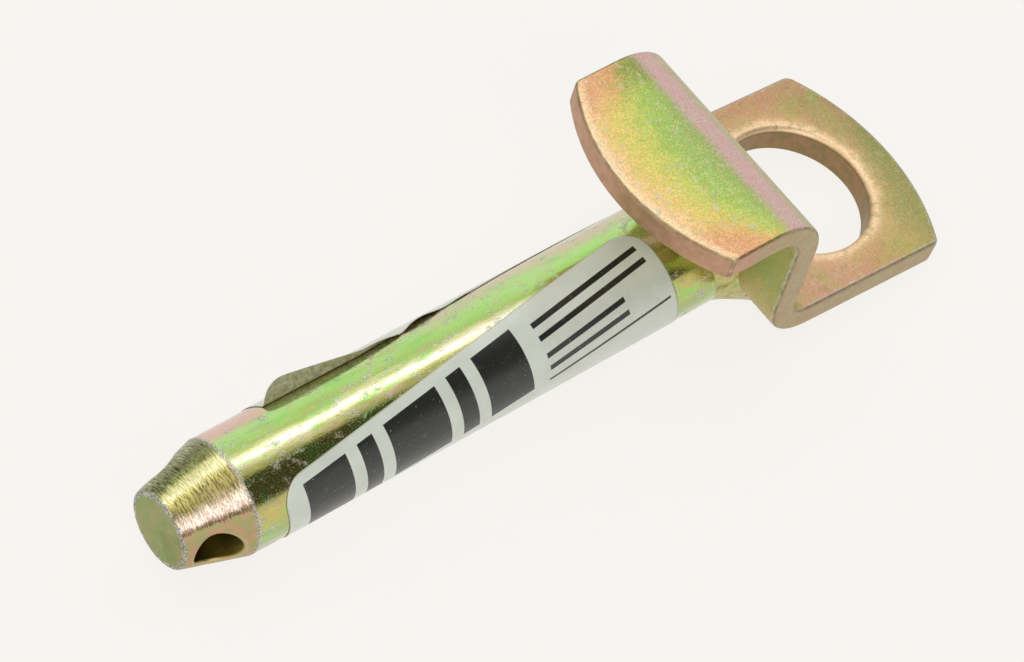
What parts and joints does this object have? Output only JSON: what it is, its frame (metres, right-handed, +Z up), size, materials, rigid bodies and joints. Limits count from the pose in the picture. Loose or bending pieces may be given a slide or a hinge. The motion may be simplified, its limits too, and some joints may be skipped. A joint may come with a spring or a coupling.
{
  "type": "top link pin",
  "caption": "Turned steel pin with a tapered, cross-drilled nose, welded to a folded plate handle with a ring hole; yellow zinc plated, with a peeling label.",
  "frame": {"origin": "centre of the linch pin hole, on the shank's axis", "axes": "+X along the shank's axis, from the nose to the handle; +Z up as it lies on a floor, on its label-wrapped shank and on the edge of the ring tab on the -Y side; the handle's lip is on the +Z side and leans 4.66 degrees to -Y"},
  "size_m": [0.1942, 0.0551, 0.0546],
  "materials": {
    "turned_zinc": "turned steel, zinc plated, glossy yellow passivation with green and pink bands",
    "plate_zinc": "rolled steel plate, zinc plated, satin yellow passivation from gold to pink and green",
    "weld_zinc": "weld run, zinc plated over, satin",
    "label_paper": "semi-gloss coated paper film"
  },
  "bodies": {
    "root": {"pin_shank": "turned_zinc", "handle_plate": "plate_zinc", "weld_fillet": "weld_zinc", "label_wrap": "label_paper"}
  },
  "joints": []
}
